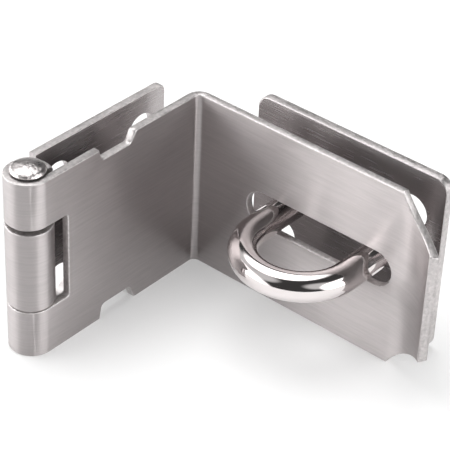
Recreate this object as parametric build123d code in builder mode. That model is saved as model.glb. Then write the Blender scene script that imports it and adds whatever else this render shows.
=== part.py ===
from build123d import *
import os
from math import asin, cos, degrees, hypot, radians, sin, sqrt

os.makedirs("parts", exist_ok=True)

# A right angle hasp of stainless strip: a fixed leaf, a bent arm that hangs on it by a riveted pin,
# and a plate with a round staple that stands through the arm's slot.
# Frame: +Z up along the hinge pin, +Y into the wall behind the leaf, +X from the pin to the leaf's free end.
# The origin is the middle of the leaf's four holes, on the leaf's back face.

# Strip stock and rolled hinge, in millimetres
strip_height = 45.0
sheet = 2.0
barrel_d = 10.6
curl_gap = 0.65
pin_clearance = 0.1
edge_break = 0.25

# Knuckles along the pin, counted from the foot
lower_knuckle = 12.0
upper_knuckle = 11.6
leaf_play_below = 0.2
leaf_play_above = 1.1

# Fixed leaf, measured from the pin's axis
leaf_gap = 0.3
leaf_end = 46.0
leaf_corner = 2.0
leaf_hole_d = 8.3
leaf_hole_near = 11.7
leaf_hole_far = 38.3
leaf_hole_edge = 9.0

# Arm: the wing beside the leaf, measured from the pin's axis
window_end = 6.3
window_corner = 0.6
wing_face = 47.6
bend_inside = 1.5
notch_start = 15.9
notch_floor_start = 16.7
notch_floor_end = 25.5
notch_end = 27.0
notch_top = 2.7
notch_bottom = 3.7
notch_round = 1.0

# Arm: the wing with the slot, measured from the pin's axis
slot_centre = 40.3
slot_foot = 18.8
slot_room_ends = 4.05
slot_room_above = 1.6
lip_start = 60.7
lip_inside = 16.8
lip_angle = 43.0
scallop_start = 61.2
scallop_depth = 8.65
scallop_r = 19.7

# Staple and its plate
bar_d = 6.7
staple_width = 25.0
staple_reach = 21.55
staple_rest = 0.3
plate_gap = 7.4
plate_thickness = 2.3
plate_width = 51.2
plate_corner = 3.0
plate_hole_d = 8.5
plate_hole_side = 8.5
plate_hole_edge = 11.1
leg_fit = 0.05

# Hinge pin with a domed head on the upper knuckle
head_lap = 0.65
head_seat = 0.2
head_rise = 1.9
head_edge = 0.5
head_wall = 1.1
head_bevel = 0.45
pin_recess = 0.5

# Places worked out from the sizes above
barrel_r = barrel_d / 2
curl_r = barrel_r - sheet / 2
bore_r = barrel_r - sheet
curl_sweep = 270 + degrees(asin((bore_r - curl_gap) / barrel_r))
leaf_start = barrel_r + leaf_gap
leaf_middle = (leaf_hole_near + leaf_hole_far) / 2
leaf_hole_x = leaf_hole_far - leaf_hole_near
leaf_hole_z = strip_height - 2 * leaf_hole_edge
window_height = strip_height - lower_knuckle - upper_knuckle
leaf_knuckle = window_height - leaf_play_below - leaf_play_above
leaf_knuckle_foot = lower_knuckle + leaf_play_below
bend_r = bend_inside + sheet / 2
wing_line = wing_face + sheet / 2
bend_start = wing_line - bend_r
slot_length = staple_width + bar_d + 2 * slot_room_ends
slot_height = staple_rest + bar_d + slot_room_above
lip_r = lip_inside + sheet / 2
lip_end = lip_start + lip_inside * sin(radians(lip_angle))
lip_out = lip_inside * (1 - cos(radians(lip_angle)))
scallop_run = lip_end - scallop_start
scallop_chord = hypot(scallop_run, scallop_depth)
scallop_lean = sqrt(scallop_r**2 - (scallop_chord / 2) ** 2) / scallop_chord
scallop_y = scallop_start + scallop_run / 2 + scallop_lean * scallop_depth
scallop_z = scallop_depth / 2 - scallop_lean * scallop_run
bar_r = bar_d / 2
staple_level = slot_foot + staple_rest + bar_r
staple_bend = staple_width / 2
staple_tip = wing_face - staple_reach + bar_r
plate_face = wing_face + sheet + plate_gap
plate_back = plate_face + plate_thickness
plate_hole_y = plate_width - 2 * plate_hole_side
plate_hole_z = strip_height - 2 * plate_hole_edge
pin_r = bore_r - pin_clearance
head_r = bore_r + head_lap
head_seat_r = bore_r + head_seat

# Working planes that share the pin's foot; the wing planes face the front, with their own X along the strip
foot = Plane(origin=(-leaf_middle, -barrel_r, -strip_height / 2))
leaf_face = Plane(foot.from_local_coords((leaf_middle, barrel_r, strip_height / 2)), (1, 0, 0), (0, -1, 0))
near_wing = Plane(foot.from_local_coords((0, -barrel_r, 0)), (1, 0, 0), (0, -1, 0))
far_wing = Plane(foot.from_local_coords((wing_face, 0, 0)), (0, -1, 0), (-1, 0, 0))
plate_middle = Plane(foot.from_local_coords((plate_face, -slot_centre, staple_level)), (0, -1, 0), (-1, 0, 0))
staple_plane = foot.offset(staple_level)


def corners_at(part, plane, points):
    """Edges of a part that run through the sheet, nearest to points of a plane.

    Args:
        part: the builder of the part.
        plane: the plane that holds the points, with its normal along the edges.
        points: local coordinates on that plane.
    Returns:
        One edge for each point.
    """
    through = part.edges().filter_by(Axis(plane.origin, plane.z_dir))
    return [through.sort_by_distance(plane.from_local_coords((x, y, 0)))[0] for x, y in points]


def sheet_rims(part):
    """Long edges of an upright sheet part, without its seams and the short edges through the sheet.

    Args:
        part: the builder of the part.
    Returns:
        The edges where the broad faces meet the cut ones.
    """
    lying = part.edges().filter_by(Axis.Z, reverse=True)
    return lying.filter_by(
        lambda edge: edge.geom_type != GeomType.LINE
        or edge.length > 1.5 * sheet
        or abs((edge % 0.5).Z) > 0.1
    )


# Fixed leaf: flat strip, rolled at its middle into one knuckle
with BuildPart() as leaf:
    with BuildSketch(foot):
        with BuildLine():
            Line((leaf_end, curl_r), (0, curl_r))
            CenterArc((0, 0), curl_r, 90, curl_sweep)
        trace(line_width=sheet)
    extrude(amount=strip_height)
    with BuildSketch(near_wing):
        with BuildLine():
            Polyline(
                (-barrel_d, 0),
                (leaf_start, 0),
                (leaf_start, leaf_knuckle_foot),
                (-barrel_d, leaf_knuckle_foot),
                close=True,
            )
        make_face()
        with BuildLine():
            Polyline(
                (-barrel_d, strip_height),
                (leaf_start, strip_height),
                (leaf_start, leaf_knuckle_foot + leaf_knuckle),
                (-barrel_d, leaf_knuckle_foot + leaf_knuckle),
                close=True,
            )
        make_face()
    extrude(amount=-barrel_d, mode=Mode.SUBTRACT)
    fillet(leaf.edges().filter_by(Axis.Y).group_by(Axis.X)[-1], leaf_corner)
    chamfer(sheet_rims(leaf), edge_break)
    with BuildSketch(leaf_face):
        with GridLocations(leaf_hole_x, leaf_hole_z, 2, 2):
            Circle(leaf_hole_d / 2)
    extrude(amount=sheet, mode=Mode.SUBTRACT)

leaf.part.label = "hinge_leaf"
export_step(leaf.part, "parts/hinge_leaf.step")

# Arm: rolled knuckles, a wing beside the leaf, a square bend, a slotted wing and a curled lip
with BuildPart() as arm:
    with BuildSketch(foot):
        with BuildLine():
            CenterArc((0, 0), curl_r, 270 - curl_sweep, curl_sweep)
            Line((0, -curl_r), (bend_start, -curl_r))
            CenterArc((bend_start, -curl_r - bend_r), bend_r, 90, -90)
            Line((wing_line, -curl_r - bend_r), (wing_line, -lip_start))
            CenterArc((wing_line - lip_r, -lip_start), lip_r, 0, -lip_angle)
        trace(line_width=sheet)
    extrude(amount=strip_height)
    with BuildSketch(near_wing):
        with BuildLine():
            Polyline(
                (-barrel_d, lower_knuckle),
                (window_end, lower_knuckle),
                (window_end, lower_knuckle + window_height),
                (-barrel_d, lower_knuckle + window_height),
                close=True,
            )
        make_face()
    extrude(amount=barrel_d, both=True, mode=Mode.SUBTRACT)
    for edge, depth in ((0, notch_bottom), (strip_height, -notch_top)):
        with BuildSketch(near_wing):
            with BuildLine():
                Polyline(
                    (notch_start, edge - depth),
                    (notch_start, edge),
                    (notch_floor_start, edge + depth),
                    (notch_floor_end, edge + depth),
                    (notch_end, edge),
                    (notch_end, edge - depth),
                    close=True,
                )
            make_face()
        extrude(amount=sheet, both=True, mode=Mode.SUBTRACT)
    with BuildSketch(far_wing):
        with Locations((slot_centre, slot_foot + slot_height / 2)):
            SlotOverall(slot_length, slot_height)
    extrude(amount=sheet, both=True, mode=Mode.SUBTRACT)
    with BuildSketch(far_wing):
        with Locations((scallop_y, scallop_z), (scallop_y, strip_height - scallop_z)):
            Circle(scallop_r)
    extrude(amount=lip_out + sheet, both=True, mode=Mode.SUBTRACT)
    fillet(
        corners_at(
            arm,
            near_wing,
            [
                (notch_floor_start, notch_bottom),
                (notch_floor_end, notch_bottom),
                (notch_end, 0),
                (notch_floor_start, strip_height - notch_top),
                (notch_floor_end, strip_height - notch_top),
                (notch_end, strip_height),
            ],
        ),
        notch_round,
    )
    fillet(
        corners_at(
            arm,
            near_wing,
            [(window_end, lower_knuckle), (window_end, lower_knuckle + window_height)],
        ),
        window_corner,
    )
    chamfer(sheet_rims(arm), edge_break)

arm.part.label = "hasp_arm"
export_step(arm.part, "parts/hasp_arm.step")

# Hinge pin: a shank through all knuckles, with a domed head riveted over the upper one
with BuildPart() as pin:
    with BuildSketch(Plane(foot.origin, (1, 0, 0), (0, -1, 0))) as profile:
        with BuildLine():
            Line((0, pin_recess), (pin_r, pin_recess))
            Line((pin_r, pin_recess), (pin_r, strip_height))
            Line((pin_r, strip_height), (head_seat_r, strip_height))
            Line((head_seat_r, strip_height), (head_r, strip_height + head_edge))
            Line((head_r, strip_height + head_edge), (head_r, strip_height + head_wall))
            TangentArc(
                (0, strip_height + head_rise),
                (head_r, strip_height + head_wall),
                tangent=(1, 0),
            )
            Line((0, strip_height + head_rise), (0, pin_recess))
        make_face()
        chamfer(profile.vertices().group_by(Axis.X)[-1].sort_by(Axis.Y)[-1], head_bevel)
    revolve(axis=Axis(foot.origin, (0, 0, 1)))

pin.part.label = "hinge_pin"
export_step(pin.part, "parts/hinge_pin.step")

# Staple plate: rounded strip with screw holes in its corners and two seats for the staple's legs
with BuildPart() as plate:
    with BuildSketch(plate_middle):
        RectangleRounded(plate_width, strip_height, plate_corner)
    extrude(amount=-plate_thickness)
    chamfer(plate.edges().filter_by(Axis.X, reverse=True), edge_break)
    with BuildSketch(plate_middle):
        with GridLocations(plate_hole_y, plate_hole_z, 2, 2):
            Circle(plate_hole_d / 2)
        with GridLocations(staple_width, 0, 2, 1):
            Circle(bar_r + leg_fit)
    extrude(amount=-plate_thickness, mode=Mode.SUBTRACT)

plate.part.label = "staple_plate"
export_step(plate.part, "parts/staple_plate.step")

# Staple: round bar bent to a loop, with its legs flush in the plate's back
with BuildPart() as staple:
    with BuildLine(staple_plane) as bar:
        Line((plate_back, -slot_centre + staple_bend), (staple_tip + staple_bend, -slot_centre + staple_bend))
        CenterArc((staple_tip + staple_bend, -slot_centre), staple_bend, 90, 180)
        Line((staple_tip + staple_bend, -slot_centre - staple_bend), (plate_back, -slot_centre - staple_bend))
    with BuildSketch(Plane(bar.line @ 0, z_dir=bar.line % 0)):
        Circle(bar_r)
    sweep(path=bar.line)

staple.part.label = "staple"
export_step(staple.part, "parts/staple.step")
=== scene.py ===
"""Looks of a right angle hasp: satin strip, sheared edges and a polished staple, in a plain studio."""

import logging
import math
from dataclasses import dataclass, replace
from enum import Enum

import bpy
from mathutils import Matrix, Vector


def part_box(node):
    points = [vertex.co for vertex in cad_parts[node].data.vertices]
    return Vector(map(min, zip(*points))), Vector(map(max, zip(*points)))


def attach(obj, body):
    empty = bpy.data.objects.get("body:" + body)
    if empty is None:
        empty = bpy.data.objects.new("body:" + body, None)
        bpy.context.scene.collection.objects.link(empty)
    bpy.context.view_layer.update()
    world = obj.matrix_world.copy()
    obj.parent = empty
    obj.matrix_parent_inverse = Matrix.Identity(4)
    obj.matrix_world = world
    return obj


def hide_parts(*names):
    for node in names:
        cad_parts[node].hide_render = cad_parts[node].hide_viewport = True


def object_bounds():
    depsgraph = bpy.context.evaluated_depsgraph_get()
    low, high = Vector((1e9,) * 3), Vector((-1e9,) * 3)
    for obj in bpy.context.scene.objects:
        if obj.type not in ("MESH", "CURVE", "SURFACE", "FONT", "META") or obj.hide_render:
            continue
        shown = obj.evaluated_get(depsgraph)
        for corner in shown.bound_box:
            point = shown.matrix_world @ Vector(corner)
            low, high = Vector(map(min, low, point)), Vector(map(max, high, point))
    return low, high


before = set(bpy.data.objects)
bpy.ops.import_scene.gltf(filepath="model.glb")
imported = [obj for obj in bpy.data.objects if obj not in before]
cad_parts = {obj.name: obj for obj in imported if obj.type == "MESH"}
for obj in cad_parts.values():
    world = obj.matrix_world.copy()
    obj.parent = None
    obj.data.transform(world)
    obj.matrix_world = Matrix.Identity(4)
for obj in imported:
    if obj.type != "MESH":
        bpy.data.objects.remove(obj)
cad_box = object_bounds()

MM = 0.001

Colour = tuple[float, float, float]
Place = tuple[float, float, float]

# Contrast of the rolled lines: noise values that become 0 and 1
GRAIN_FLOOR = 0.28
GRAIN_TOP = 0.72

# Shares of lines and patches in a finish's wear
GRAIN_SHARE = 0.6
PATCH_SHARE = 0.4

# Test of a sheet's wall, as shares of its thickness: how deep behind the face the ray starts,
# and how far it may go to the other side
RAY_START = 0.02
WALL_SLACK = 1.1

# A corner that no face lies past
EVERYWHERE: Place = (1.0, 1.0, 0.0)

# Weight at which a broad face alone sets the normals of its rim
BROAD_FACE_WEIGHT = 100

log = logging.getLogger("hasp")


class Body(Enum):
    """Rigid bodies of the hasp, as the joint moves them."""

    LEAF = "leaf"
    ARM = "arm"


class Slot(Enum):
    """Material slots of the record."""

    STRIP = "strip"
    BAR = "bar"
    PIN = "pin"


class Tree:
    """A node tree under construction, with short calls to add and join its nodes."""

    def __init__(self, tree: bpy.types.NodeTree) -> None:
        """Wraps the node tree that takes the nodes."""
        self.tree = tree

    def add(self, kind: str, values: dict | None = None, **options: object) -> bpy.types.Node:
        """Adds one node.

        Args:
            kind: Blender's node type.
            values: default values by socket name or number.
            options: properties of the node itself.
        Returns:
            The new node.
        """
        node = self.tree.nodes.new(kind)
        for option, value in options.items():
            setattr(node, option, value)
        for socket, value in (values or {}).items():
            node.inputs[socket].default_value = value
        return node

    def join(self, source: bpy.types.NodeSocket, target: bpy.types.NodeSocket) -> None:
        """Links an output socket to an input socket."""
        self.tree.links.new(source, target)

    def maths(self, operation: str, *values: object) -> bpy.types.NodeSocket:
        """Adds a Math node on sockets or numbers.

        Args:
            operation: Blender's name of the operation.
            values: a socket or a number for each input that the operation takes.
        Returns:
            The result's socket.
        """
        node = self.add("ShaderNodeMath", operation=operation)
        for socket, value in zip(node.inputs, values):
            if isinstance(value, bpy.types.NodeSocket):
                self.join(value, socket)
            else:
                socket.default_value = value
        return node.outputs[0]

    def clamped(self, value: bpy.types.NodeSocket, top: object) -> bpy.types.NodeSocket:
        """Limits a value to the stretch from zero to top."""
        return self.maths("MINIMUM", self.maths("MAXIMUM", value, 0.0), top)

    def remapped(
        self, value: bpy.types.NodeSocket, low: float, high: float, start: float = 0.0, end: float = 1.0
    ) -> bpy.types.NodeSocket:
        """Maps a value from start..end to low..high.

        Args:
            value: the socket to read.
            low: result at start.
            high: result at end.
            start: lowest value read.
            end: highest value read.
        Returns:
            The result's socket.
        """
        node = self.add(
            "ShaderNodeMapRange",
            {"From Min": start, "From Max": end, "To Min": low, "To Max": high},
        )
        self.join(value, node.inputs["Value"])
        return node.outputs["Result"]


def shader_group(
    name: str, inputs: dict[str, str], output: str
) -> tuple[Tree, bpy.types.Node, bpy.types.Node]:
    """Starts a shader node group with named sockets.

    Args:
        name: the group's name.
        inputs: socket type by input name.
        output: name of its one value output.
    Returns:
        The tree, its input node and its output node.
    """
    group = bpy.data.node_groups.new(name, "ShaderNodeTree")
    for label, kind in inputs.items():
        group.interface.new_socket(name=label, in_out="INPUT", socket_type=kind)
    group.interface.new_socket(name=output, in_out="OUTPUT", socket_type="NodeSocketFloat")
    tree = Tree(group)
    return tree, tree.add("NodeGroupInput"), tree.add("NodeGroupOutput")


def rolled_grain() -> bpy.types.NodeTree:
    """Fine lines along a strip, level on every upright face.

    Returns:
        A group with inputs Place, Lines and Run, and the output Grain.
    """
    tree, given, made = shader_group(
        "rolled_grain",
        {"Place": "NodeSocketVector", "Lines": "NodeSocketFloat", "Run": "NodeSocketFloat"},
        "Grain",
    )
    stretch = tree.add("ShaderNodeCombineXYZ")
    tree.join(given.outputs["Run"], stretch.inputs["X"])
    tree.join(given.outputs["Run"], stretch.inputs["Y"])
    tree.join(given.outputs["Lines"], stretch.inputs["Z"])
    place = tree.add("ShaderNodeVectorMath", operation="MULTIPLY")
    tree.join(given.outputs["Place"], place.inputs[0])
    tree.join(stretch.outputs[0], place.inputs[1])
    lines = tree.add("ShaderNodeTexNoise", {"Scale": 1.0, "Detail": 3.0, "Roughness": 0.6})
    tree.join(place.outputs[0], lines.inputs["Vector"])
    strong = tree.remapped(lines.outputs["Fac"], 0.0, 1.0, GRAIN_FLOOR, GRAIN_TOP)
    tree.join(strong, made.inputs["Grain"])
    return tree.tree


def soft_patches() -> bpy.types.NodeTree:
    """Broad faint patches, as handling and rolling leave them.

    Returns:
        A group with inputs Place, Spread and Contrast, and the output Patch.
    """
    tree, given, made = shader_group(
        "soft_patches",
        {"Place": "NodeSocketVector", "Spread": "NodeSocketFloat", "Contrast": "NodeSocketFloat"},
        "Patch",
    )
    cloud = tree.add("ShaderNodeTexNoise", {"Detail": 2.0, "Roughness": 0.5})
    tree.join(given.outputs["Place"], cloud.inputs["Vector"])
    tree.join(given.outputs["Spread"], cloud.inputs["Scale"])
    centred = tree.maths("SUBTRACT", cloud.outputs["Fac"], 0.5)
    scaled = tree.maths("MULTIPLY", centred, given.outputs["Contrast"])
    tree.join(tree.clamped(tree.maths("ADD", scaled, 0.5), 1.0), made.inputs["Patch"])
    return tree.tree


@dataclass(frozen=True)
class MetalFinish:
    """A bare metal surface with lines, patches and a fine relief.

    Lines, run and patch_spread say how often a pattern changes in a metre: across the lines, along them and
    from patch to patch. Shade is the share of its colour that the darkest places keep.
    """

    name: str
    colour: Colour
    shade: float
    roughness: float
    roughness_spread: float
    lines: float
    run: float
    relief: float
    patch_spread: float
    patch_contrast: float
    anisotropic: float = 0.0
    anisotropic_turn: float = 0.0

    def material(self, grain: bpy.types.NodeTree, patches: bpy.types.NodeTree) -> bpy.types.Material:
        """Builds the material.

        Args:
            grain: the rolled_grain group.
            patches: the soft_patches group.
        Returns:
            The material, ready to assign.
        """
        material = bpy.data.materials.new(self.name)
        material.use_nodes = True
        material.node_tree.nodes.clear()
        tree = Tree(material.node_tree)
        surface = tree.add("ShaderNodeOutputMaterial")
        metal = tree.add("ShaderNodeBsdfPrincipled", {"Metallic": 1.0, "Anisotropic": self.anisotropic})
        metal.inputs["Anisotropic Rotation"].default_value = self.anisotropic_turn
        tree.join(metal.outputs["BSDF"], surface.inputs["Surface"])
        place = tree.add("ShaderNodeTexCoord").outputs["Object"]

        lines = tree.add("ShaderNodeGroup", node_tree=grain)
        lines.inputs["Lines"].default_value = self.lines
        lines.inputs["Run"].default_value = self.run
        tree.join(place, lines.inputs["Place"])
        cloud = tree.add("ShaderNodeGroup", node_tree=patches)
        cloud.inputs["Spread"].default_value = self.patch_spread
        cloud.inputs["Contrast"].default_value = self.patch_contrast
        tree.join(place, cloud.inputs["Place"])

        blotches = tree.maths("MULTIPLY", cloud.outputs["Patch"], PATCH_SHARE)
        wear = tree.maths("MULTIPLY_ADD", lines.outputs["Grain"], GRAIN_SHARE, blotches)
        tint = tree.add("ShaderNodeMix", data_type="RGBA")
        tint.inputs["A"].default_value = (*[channel * self.shade for channel in self.colour], 1.0)
        tint.inputs["B"].default_value = (*self.colour, 1.0)
        tree.join(wear, tint.inputs["Factor"])
        tree.join(tint.outputs["Result"], metal.inputs["Base Color"])

        low = self.roughness - self.roughness_spread
        high = self.roughness + self.roughness_spread
        tree.join(tree.remapped(wear, low, high), metal.inputs["Roughness"])
        bump = tree.add("ShaderNodeBump", {"Strength": 1.0, "Distance": self.relief})
        tree.join(lines.outputs["Grain"], bump.inputs["Height"])
        tree.join(bump.outputs["Normal"], metal.inputs["Normal"])
        return material


SATIN = MetalFinish(
    name="satin_strip",
    colour=(0.533, 0.498, 0.497),
    shade=0.77,
    roughness=0.36,
    roughness_spread=0.05,
    lines=2300.0,
    run=120.0,
    relief=0.010 * MM,
    patch_spread=45.0,
    patch_contrast=1.6,
    anisotropic=0.95,
    anisotropic_turn=0.25,
)
MILLED = replace(SATIN, name="milled_strip", roughness=0.26, roughness_spread=0.04)
SHEARED = MetalFinish(
    name="sheared_edge",
    colour=(0.78, 0.743, 0.738),
    shade=0.50,
    roughness=0.50,
    roughness_spread=0.15,
    lines=1300.0,
    run=1300.0,
    relief=0.05 * MM,
    patch_spread=120.0,
    patch_contrast=1.6,
)
POLISHED = MetalFinish(
    name="polished_bar",
    colour=(0.81, 0.760, 0.754),
    shade=0.96,
    roughness=0.07,
    roughness_spread=0.03,
    lines=900.0,
    run=120.0,
    relief=0.0004 * MM,
    patch_spread=90.0,
    patch_contrast=1.4,
)
PEENED = MetalFinish(
    name="peened_pin",
    colour=(0.83, 0.780, 0.773),
    shade=0.75,
    roughness=0.32,
    roughness_spread=0.10,
    lines=900.0,
    run=900.0,
    relief=0.10 * MM,
    patch_spread=300.0,
    patch_contrast=2.0,
)
# Painted shade: a dark finish on the pin's shank, so that the narrow gaps beside the knuckles look shaded
SHADED_SHANK = MetalFinish(
    name="oiled_shank",
    colour=(0.20, 0.188, 0.184),
    shade=0.8,
    roughness=0.40,
    roughness_spread=0.08,
    lines=900.0,
    run=120.0,
    relief=0.004 * MM,
    patch_spread=90.0,
    patch_contrast=1.4,
)


class GeometryTree(Tree):
    """A Geometry Nodes tree with named inputs."""

    def __init__(self, name: str, inputs: dict[str, str]) -> None:
        """Starts the tree.

        Args:
            name: the tree's name.
            inputs: socket type by input name, after the geometry itself.
        """
        group = bpy.data.node_groups.new(name, "GeometryNodeTree")
        group.interface.new_socket(name="Geometry", in_out="INPUT", socket_type="NodeSocketGeometry")
        for label, kind in inputs.items():
            group.interface.new_socket(name=label, in_out="INPUT", socket_type=kind)
        group.interface.new_socket(name="Geometry", in_out="OUTPUT", socket_type="NodeSocketGeometry")
        super().__init__(group)
        self.given = self.add("NodeGroupInput").outputs
        self.made = self.add("NodeGroupOutput").inputs["Geometry"]

    def mesh(self, base: bpy.types.Mesh, values: dict[str, object], weighted: bool) -> bpy.types.Mesh:
        """Runs the tree on a mesh.

        Args:
            base: the mesh that the tree starts from.
            values: value by input name.
            weighted: whether broad faces set the normals of the narrow ones beside them.
        Returns:
            A plain mesh with the result.
        """
        worker = bpy.data.objects.new("worker", base)
        bpy.context.scene.collection.objects.link(worker)
        modifier = worker.modifiers.new("tree", "NODES")
        modifier.node_group = self.tree
        for item in self.tree.interface.items_tree:
            if item.in_out == "INPUT" and item.name in values:
                modifier[item.identifier] = values[item.name]
        if weighted:
            normals = worker.modifiers.new("normals", "WEIGHTED_NORMAL")
            normals.weight = BROAD_FACE_WEIGHT
            normals.keep_sharp = True
        graph = bpy.context.evaluated_depsgraph_get()
        mesh = bpy.data.meshes.new_from_object(worker.evaluated_get(graph))
        bpy.data.objects.remove(worker)
        return mesh


def strip_tree() -> GeometryTree:
    """Dresses a sheet piece: welds it, smooths its rolled faces and finds its sheared edges.

    A face lies on the sheet's broad side where the wall behind it is one sheet thick. Every other face is
    a sheared edge. A broad side that lies past a corner, along both X and Y, was not brushed and keeps the
    mill's finish.

    Returns:
        A tree with inputs Weld, Crease, Wall, Brushed to, Broad finish, Milled finish and Edge finish.
    """
    tree = GeometryTree(
        "strip_dress",
        {
            "Weld": "NodeSocketFloat",
            "Crease": "NodeSocketFloat",
            "Wall": "NodeSocketFloat",
            "Brushed to": "NodeSocketVector",
            "Broad finish": "NodeSocketMaterial",
            "Milled finish": "NodeSocketMaterial",
            "Edge finish": "NodeSocketMaterial",
        },
    )
    weld = tree.add("GeometryNodeMergeByDistance")
    tree.join(tree.given["Geometry"], weld.inputs["Geometry"])
    tree.join(tree.given["Weld"], weld.inputs["Distance"])
    smooth = tree.add("GeometryNodeSetShadeSmooth", {"Shade Smooth": True}, domain="FACE")
    tree.join(weld.outputs[0], smooth.inputs[0])
    angle = tree.add("GeometryNodeInputMeshEdgeAngle")
    sharp = tree.add("FunctionNodeCompare", data_type="FLOAT", operation="GREATER_THAN")
    tree.join(angle.outputs["Unsigned Angle"], sharp.inputs[0])
    tree.join(tree.given["Crease"], sharp.inputs[1])
    creased = tree.add("GeometryNodeSetShadeSmooth", {"Shade Smooth": False}, domain="EDGE")
    tree.join(smooth.outputs[0], creased.inputs[0])
    tree.join(sharp.outputs[0], creased.inputs["Selection"])

    inward = tree.add("ShaderNodeVectorMath", {"Scale": -1.0}, operation="SCALE")
    tree.join(tree.add("GeometryNodeInputNormal").outputs[0], inward.inputs[0])
    step = tree.add("ShaderNodeVectorMath", operation="SCALE")
    tree.join(inward.outputs[0], step.inputs[0])
    tree.join(tree.maths("MULTIPLY", tree.given["Wall"], RAY_START), step.inputs["Scale"])
    place = tree.add("GeometryNodeInputPosition").outputs[0]
    inside = tree.add("ShaderNodeVectorMath", operation="ADD")
    tree.join(place, inside.inputs[0])
    tree.join(step.outputs[0], inside.inputs[1])
    wall = tree.add("GeometryNodeRaycast", {"Ray Length": 1.0})
    tree.join(creased.outputs[0], wall.inputs["Target Geometry"])
    tree.join(inside.outputs[0], wall.inputs["Source Position"])
    tree.join(inward.outputs[0], wall.inputs["Ray Direction"])
    thick = tree.add("FunctionNodeCompare", data_type="FLOAT", operation="GREATER_THAN")
    tree.join(wall.outputs["Hit Distance"], thick.inputs[0])
    tree.join(tree.maths("MULTIPLY", tree.given["Wall"], WALL_SLACK), thick.inputs[1])

    broad = tree.add("GeometryNodeSetMaterial")
    tree.join(creased.outputs[0], broad.inputs["Geometry"])
    tree.join(tree.given["Broad finish"], broad.inputs["Material"])
    past = tree.add("ShaderNodeVectorMath", operation="SUBTRACT")
    tree.join(place, past.inputs[0])
    tree.join(tree.given["Brushed to"], past.inputs[1])
    across = tree.add("ShaderNodeSeparateXYZ")
    tree.join(past.outputs[0], across.inputs[0])
    unbrushed = tree.add("FunctionNodeCompare", {1: 0.0}, data_type="FLOAT", operation="GREATER_THAN")
    tree.join(tree.maths("MINIMUM", across.outputs["X"], across.outputs["Y"]), unbrushed.inputs[0])
    milled = tree.add("GeometryNodeSetMaterial")
    tree.join(broad.outputs[0], milled.inputs["Geometry"])
    tree.join(unbrushed.outputs[0], milled.inputs["Selection"])
    tree.join(tree.given["Milled finish"], milled.inputs["Material"])
    edges = tree.add("GeometryNodeSetMaterial")
    tree.join(milled.outputs[0], edges.inputs["Geometry"])
    tree.join(thick.outputs[0], edges.inputs["Selection"])
    tree.join(tree.given["Edge finish"], edges.inputs["Material"])
    real = tree.add("GeometryNodeRealizeInstances")
    tree.join(edges.outputs[0], real.inputs[0])
    tree.join(real.outputs[0], tree.made)
    return tree


def bent_bar_tree() -> GeometryTree:
    """Sweeps a round bar along a leg, half a turn and a second leg.

    Returns:
        A tree with inputs Leg, Loop radius, Bar radius, Seat, Stations, Sides and Finish.
    """
    tree = GeometryTree(
        "bent_bar",
        {
            "Leg": "NodeSocketFloat",
            "Loop radius": "NodeSocketFloat",
            "Bar radius": "NodeSocketFloat",
            "Seat": "NodeSocketVector",
            "Stations": "NodeSocketInt",
            "Sides": "NodeSocketInt",
            "Finish": "NodeSocketMaterial",
        },
    )
    leg = tree.given["Leg"]
    radius = tree.given["Loop radius"]
    turn = tree.maths("MULTIPLY", radius, math.pi)
    whole = tree.maths("ADD", tree.maths("MULTIPLY", leg, 2.0), turn)
    line = tree.add("GeometryNodeResampleCurve")
    tree.join(tree.add("GeometryNodeCurvePrimitiveLine").outputs[0], line.inputs["Curve"])
    tree.join(tree.given["Stations"], line.inputs["Count"])
    along = tree.maths("MULTIPLY", tree.add("GeometryNodeSplineParameter").outputs["Factor"], whole)

    out = tree.clamped(along, leg)
    past_leg = tree.maths("SUBTRACT", along, leg)
    angle = tree.maths("DIVIDE", tree.clamped(past_leg, turn), radius)
    home = tree.clamped(tree.maths("SUBTRACT", past_leg, turn), leg)
    bulge = tree.maths("MULTIPLY", radius, tree.maths("SINE", angle))
    reach = tree.maths("SUBTRACT", tree.maths("SUBTRACT", home, out), bulge)
    place = tree.add("ShaderNodeCombineXYZ")
    tree.join(reach, place.inputs["X"])
    tree.join(tree.maths("MULTIPLY", radius, tree.maths("COSINE", angle)), place.inputs["Y"])
    seated = tree.add("ShaderNodeVectorMath", operation="ADD")
    tree.join(place.outputs[0], seated.inputs[0])
    tree.join(tree.given["Seat"], seated.inputs[1])
    path = tree.add("GeometryNodeSetPosition")
    tree.join(line.outputs[0], path.inputs["Geometry"])
    tree.join(seated.outputs[0], path.inputs["Position"])

    section = tree.add("GeometryNodeCurvePrimitiveCircle")
    tree.join(tree.given["Sides"], section.inputs["Resolution"])
    tree.join(tree.given["Bar radius"], section.inputs["Radius"])
    bar = tree.add("GeometryNodeCurveToMesh", {"Fill Caps": True})
    tree.join(path.outputs[0], bar.inputs["Curve"])
    tree.join(section.outputs["Curve"], bar.inputs["Profile Curve"])
    finish = tree.add("GeometryNodeSetMaterial")
    tree.join(bar.outputs[0], finish.inputs["Geometry"])
    tree.join(tree.given["Finish"], finish.inputs["Material"])
    real = tree.add("GeometryNodeRealizeInstances")
    tree.join(finish.outputs[0], real.inputs[0])
    tree.join(real.outputs[0], tree.made)
    return tree


def set_piece(name: str, mesh: bpy.types.Mesh, node: str, body: Body) -> None:
    """Puts a finished mesh in the place of a CAD node.

    Args:
        name: the piece's name.
        mesh: its mesh, in the frame's own coordinates.
        node: the CAD node that it stands for.
        body: the body that carries it.
    """
    mesh.name = name
    piece = bpy.data.objects.new(name, mesh)
    bpy.context.scene.collection.objects.link(piece)
    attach(piece, body.value)
    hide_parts(node)
    log.info("%s stands for %s on body %s: %d faces", name, node, body.value, len(mesh.polygons))


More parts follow.
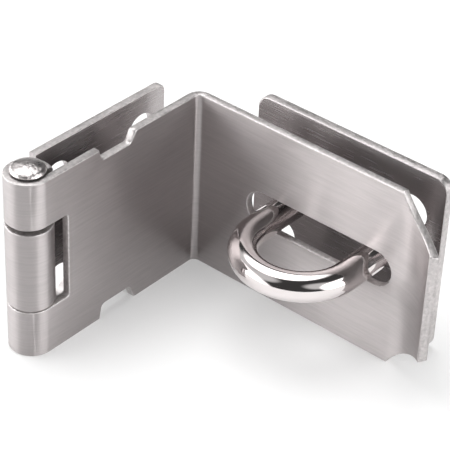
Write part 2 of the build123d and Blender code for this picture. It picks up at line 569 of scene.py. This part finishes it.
@dataclass(frozen=True)
class Finishes:
    """The finished materials of the hasp."""

    satin: bpy.types.Material
    milled: bpy.types.Material
    sheared: bpy.types.Material
    polished: bpy.types.Material
    peened: bpy.types.Material
    # painted shade on the pin's shank
    oiled: bpy.types.Material

    @classmethod
    def build(cls) -> "Finishes":
        """Builds the shared effects once and the materials on them.

        Returns:
            All six materials.
        """
        grain = rolled_grain()
        patches = soft_patches()
        return cls(
            satin=SATIN.material(grain, patches),
            milled=MILLED.material(grain, patches),
            sheared=SHEARED.material(grain, patches),
            polished=POLISHED.material(grain, patches),
            peened=PEENED.material(grain, patches),
            oiled=SHADED_SHANK.material(grain, patches),
        )


@dataclass
class StripWork:
    """What the pieces of strip share: how they are welded, creased and finished."""

    finishes: Finishes
    weld: float = 0.0005 * MM
    crease: float = math.radians(60)

    def __post_init__(self) -> None:
        """Builds the tree that dresses the pieces."""
        self.tree = strip_tree()

    def dress(
        self,
        node: str,
        wall: float,
        broad: bpy.types.Material,
        edge: bpy.types.Material,
        brushed_to: Place = EVERYWHERE,
    ) -> bpy.types.Mesh:
        """Dresses a copy of a CAD node.

        Args:
            node: the node's name.
            wall: thickness of its sheet.
            broad: finish of its broad sides.
            edge: finish of its edges.
            brushed_to: corner past which its broad sides keep the mill's finish.
        Returns:
            The dressed mesh.
        """
        values = {
            "Weld": self.weld,
            "Crease": self.crease,
            "Wall": wall,
            "Brushed to": brushed_to,
            "Broad finish": broad,
            "Milled finish": self.finishes.milled,
            "Edge finish": edge,
        }
        return self.tree.mesh(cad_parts[node].data.copy(), values, weighted=True)


@dataclass
class Hinge:
    """The fixed leaf, the bent arm and the pin that joins them.

    The strip's thickness and the shank's diameter tell their broad sides from their edges.
    """

    work: StripWork
    sheet: float = 2.0 * MM
    shank: float = 6.4 * MM

    def build(self) -> None:
        """Makes the three pieces."""
        finishes = self.work.finishes
        low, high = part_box("hinge_leaf")
        barrel_radius = (high.y - low.y) / 2
        roll_start = (low.x + barrel_radius, high.y - WALL_SLACK * self.sheet, 0.0)
        leaf = self.work.dress("hinge_leaf", self.sheet, finishes.satin, finishes.sheared, roll_start)
        set_piece("leaf_strip", leaf, "hinge_leaf", Body.LEAF)
        arm = self.work.dress("hasp_arm", self.sheet, finishes.satin, finishes.sheared)
        set_piece("arm_strip", arm, "hasp_arm", Body.ARM)
        # The pin's shank takes the painted shade, its head the peened finish
        pin = self.work.dress("hinge_pin", self.shank, finishes.oiled, finishes.peened)
        set_piece("pin_rivet", pin, "hinge_pin", Body.ARM)


@dataclass
class Staple:
    """The screw plate and the bent bar that stands on it."""

    work: StripWork
    stations: int = 180
    sides: int = 64

    def plate(self) -> None:
        """Makes the plate."""
        finishes = self.work.finishes
        low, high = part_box("staple_plate")
        mesh = self.work.dress("staple_plate", high.x - low.x, finishes.milled, finishes.sheared)
        set_piece("plate_strip", mesh, "staple_plate", Body.ARM)

    def bar(self) -> None:
        """Makes the bent bar from its node's box."""
        low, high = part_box("staple")
        bar_radius = (high.z - low.z) / 2
        loop_radius = (high.y - low.y) / 2 - bar_radius
        values = {
            "Leg": high.x - low.x - bar_radius - loop_radius,
            "Loop radius": loop_radius,
            "Bar radius": bar_radius,
            "Seat": (high.x, (low.y + high.y) / 2, (low.z + high.z) / 2),
            "Stations": self.stations,
            "Sides": self.sides,
            "Finish": self.work.finishes.polished,
        }
        mesh = bent_bar_tree().mesh(bpy.data.meshes.new("bar"), values, weighted=False)
        mesh.shade_smooth()
        set_piece("staple_bar", mesh, "staple", Body.ARM)

    def build(self) -> None:
        """Makes both pieces."""
        self.plate()
        self.bar()


@dataclass(frozen=True)
class Softbox:
    """A soft light around the hasp: where it stands, how far it reaches and how bright it is.

    Its angles are in degrees. It has its whole level up to the share of its reach that full gives, and fades
    out from there.
    """

    azimuth: float
    elevation: float
    reach: float
    level: float
    full: float = 0.45

    def share(self, tree: Tree, direction: bpy.types.NodeSocket) -> bpy.types.NodeSocket:
        """Gives the light that comes from a direction.

        Args:
            tree: the world's tree.
            direction: socket of the direction looked at.
        Returns:
            A socket from zero outside the light to its level inside.
        """
        rise = math.radians(self.elevation)
        middle = Vector((math.cos(rise), 0.0, math.sin(rise)))
        middle.rotate(Matrix.Rotation(math.radians(self.azimuth), 3, "Z"))
        toward = tree.add("ShaderNodeVectorMath", operation="DOT_PRODUCT")
        tree.join(direction, toward.inputs[0])
        toward.inputs[1].default_value = middle
        rim = math.cos(math.radians(self.reach))
        core = math.cos(math.radians(self.reach * self.full))
        share = tree.remapped(toward.outputs["Value"], 0.0, self.level, rim, core)
        share.node.interpolation_type = "SMOOTHSTEP"
        return share


@dataclass(frozen=True)
class Room:
    """A dim room with softboxes above, low behind on the left and before on the right.

    Three faint softboxes between them brighten the polished bar, except where it mirrors the camera's side.
    """

    level: float = 0.05
    softboxes: tuple[Softbox, ...] = (
        Softbox(azimuth=75.0, elevation=71.0, reach=31.0, level=4.2),
        Softbox(azimuth=128.0, elevation=-18.0, reach=56.0, level=6.6),
        Softbox(azimuth=281.0, elevation=17.0, reach=33.0, level=4.0),
        Softbox(azimuth=100.0, elevation=32.0, reach=28.0, level=0.6),
        Softbox(azimuth=152.0, elevation=42.0, reach=26.0, level=0.6),
        Softbox(azimuth=252.0, elevation=36.0, reach=26.0, level=0.6),
    )

    def build(self) -> None:
        """Sets the world's light by direction."""
        world = bpy.data.worlds.new("room")
        bpy.context.scene.world = world
        world.use_nodes = True
        world.node_tree.nodes.clear()
        tree = Tree(world.node_tree)
        output = tree.add("ShaderNodeOutputWorld")
        light = tree.add("ShaderNodeBackground")
        tree.join(light.outputs[0], output.inputs["Surface"])
        direction = tree.add("ShaderNodeTexCoord").outputs["Generated"]
        total = self.level
        for softbox in self.softboxes:
            total = tree.maths("ADD", softbox.share(tree, direction), total)
        light.inputs["Color"].default_value = (1.0, 1.0, 1.0, 1.0)
        tree.join(total, light.inputs["Strength"])


@dataclass(frozen=True)
class Viewpoint:
    """The camera of the main view: in front on the left, looking down on the hasp's inner corner."""

    place: Place = (-251.4 * MM, -241.4 * MM, 241.4 * MM)
    lens: float = 151.8
    sensor: float = 36.0
    clip_start: float = 10.0 * MM
    azimuth: float = -51.02
    elevation: float = 35.34
    roll: float = 2.64

    def build(self) -> None:
        """Adds the camera and makes it the scene's own."""
        data = bpy.data.cameras.new("main_view")
        data.lens = self.lens
        data.sensor_width = self.sensor
        data.clip_start = self.clip_start
        camera = bpy.data.objects.new("main_view", data)
        bpy.context.scene.collection.objects.link(camera)
        turn = (
            Matrix.Rotation(math.radians(self.azimuth), 4, "Z")
            @ Matrix.Rotation(math.radians(90 - self.elevation), 4, "X")
            @ Matrix.Rotation(math.radians(self.roll), 4, "Z")
        )
        camera.matrix_world = Matrix.Translation(self.place) @ turn
        bpy.context.scene.camera = camera


@dataclass(frozen=True)
class Studio:
    """Floor, room and camera."""

    floor_colour: Colour = (0.70, 0.70, 0.70)
    floor_glow: float = 0.30
    floor_half: float = 6.0
    room: Room = Room()
    view: Viewpoint = Viewpoint()

    def floor_material(self) -> bpy.types.Material:
        """Builds a matt pale floor that seems a little lighter than its light makes it.

        Returns:
            The material, with a glow that only the camera and mirroring surfaces see.
        """
        material = bpy.data.materials.new("floor")
        material.use_nodes = True
        shader = material.node_tree.nodes["Principled BSDF"]
        shader.inputs["Base Color"].default_value = (*self.floor_colour, 1.0)
        shader.inputs["Roughness"].default_value = 1.0
        shader.inputs["Specular IOR Level"].default_value = 0.0
        tree = Tree(material.node_tree)
        path = tree.add("ShaderNodeLightPath").outputs
        seen = tree.maths("MAXIMUM", path["Is Camera Ray"], path["Is Glossy Ray"])
        seen = tree.maths("MAXIMUM", seen, path["Is Transmission Ray"])
        shader.inputs["Emission Color"].default_value = (1.0, 1.0, 1.0, 1.0)
        tree.join(tree.maths("MULTIPLY", seen, self.floor_glow), shader.inputs["Emission Strength"])
        return material

    def floor(self) -> None:
        """Adds the floor at the hasp's foot."""
        level = cad_box[0].z
        half = self.floor_half
        corners = [(x, y, level) for x, y in ((-half, -half), (half, -half), (half, half), (-half, half))]
        mesh = bpy.data.meshes.new("floor")
        mesh.from_pydata(corners, [], [(0, 1, 2, 3)])
        mesh.materials.append(self.floor_material())
        floor = bpy.data.objects.new("floor", mesh)
        bpy.context.scene.collection.objects.link(floor)

    def build(self) -> None:
        """Adds everything around the hasp."""
        self.floor()
        self.room.build()
        self.view.build()
        bpy.context.scene.view_settings.view_transform = "Standard"


def main() -> None:
    """Builds the finishes, the two sub-assemblies and the studio."""
    logging.basicConfig(level=logging.INFO, format="%(name)s: %(message)s")
    work = StripWork(Finishes.build())
    Hinge(work).build()
    Staple(work).build()
    Studio().build()


if __name__ == "__main__":
    main()
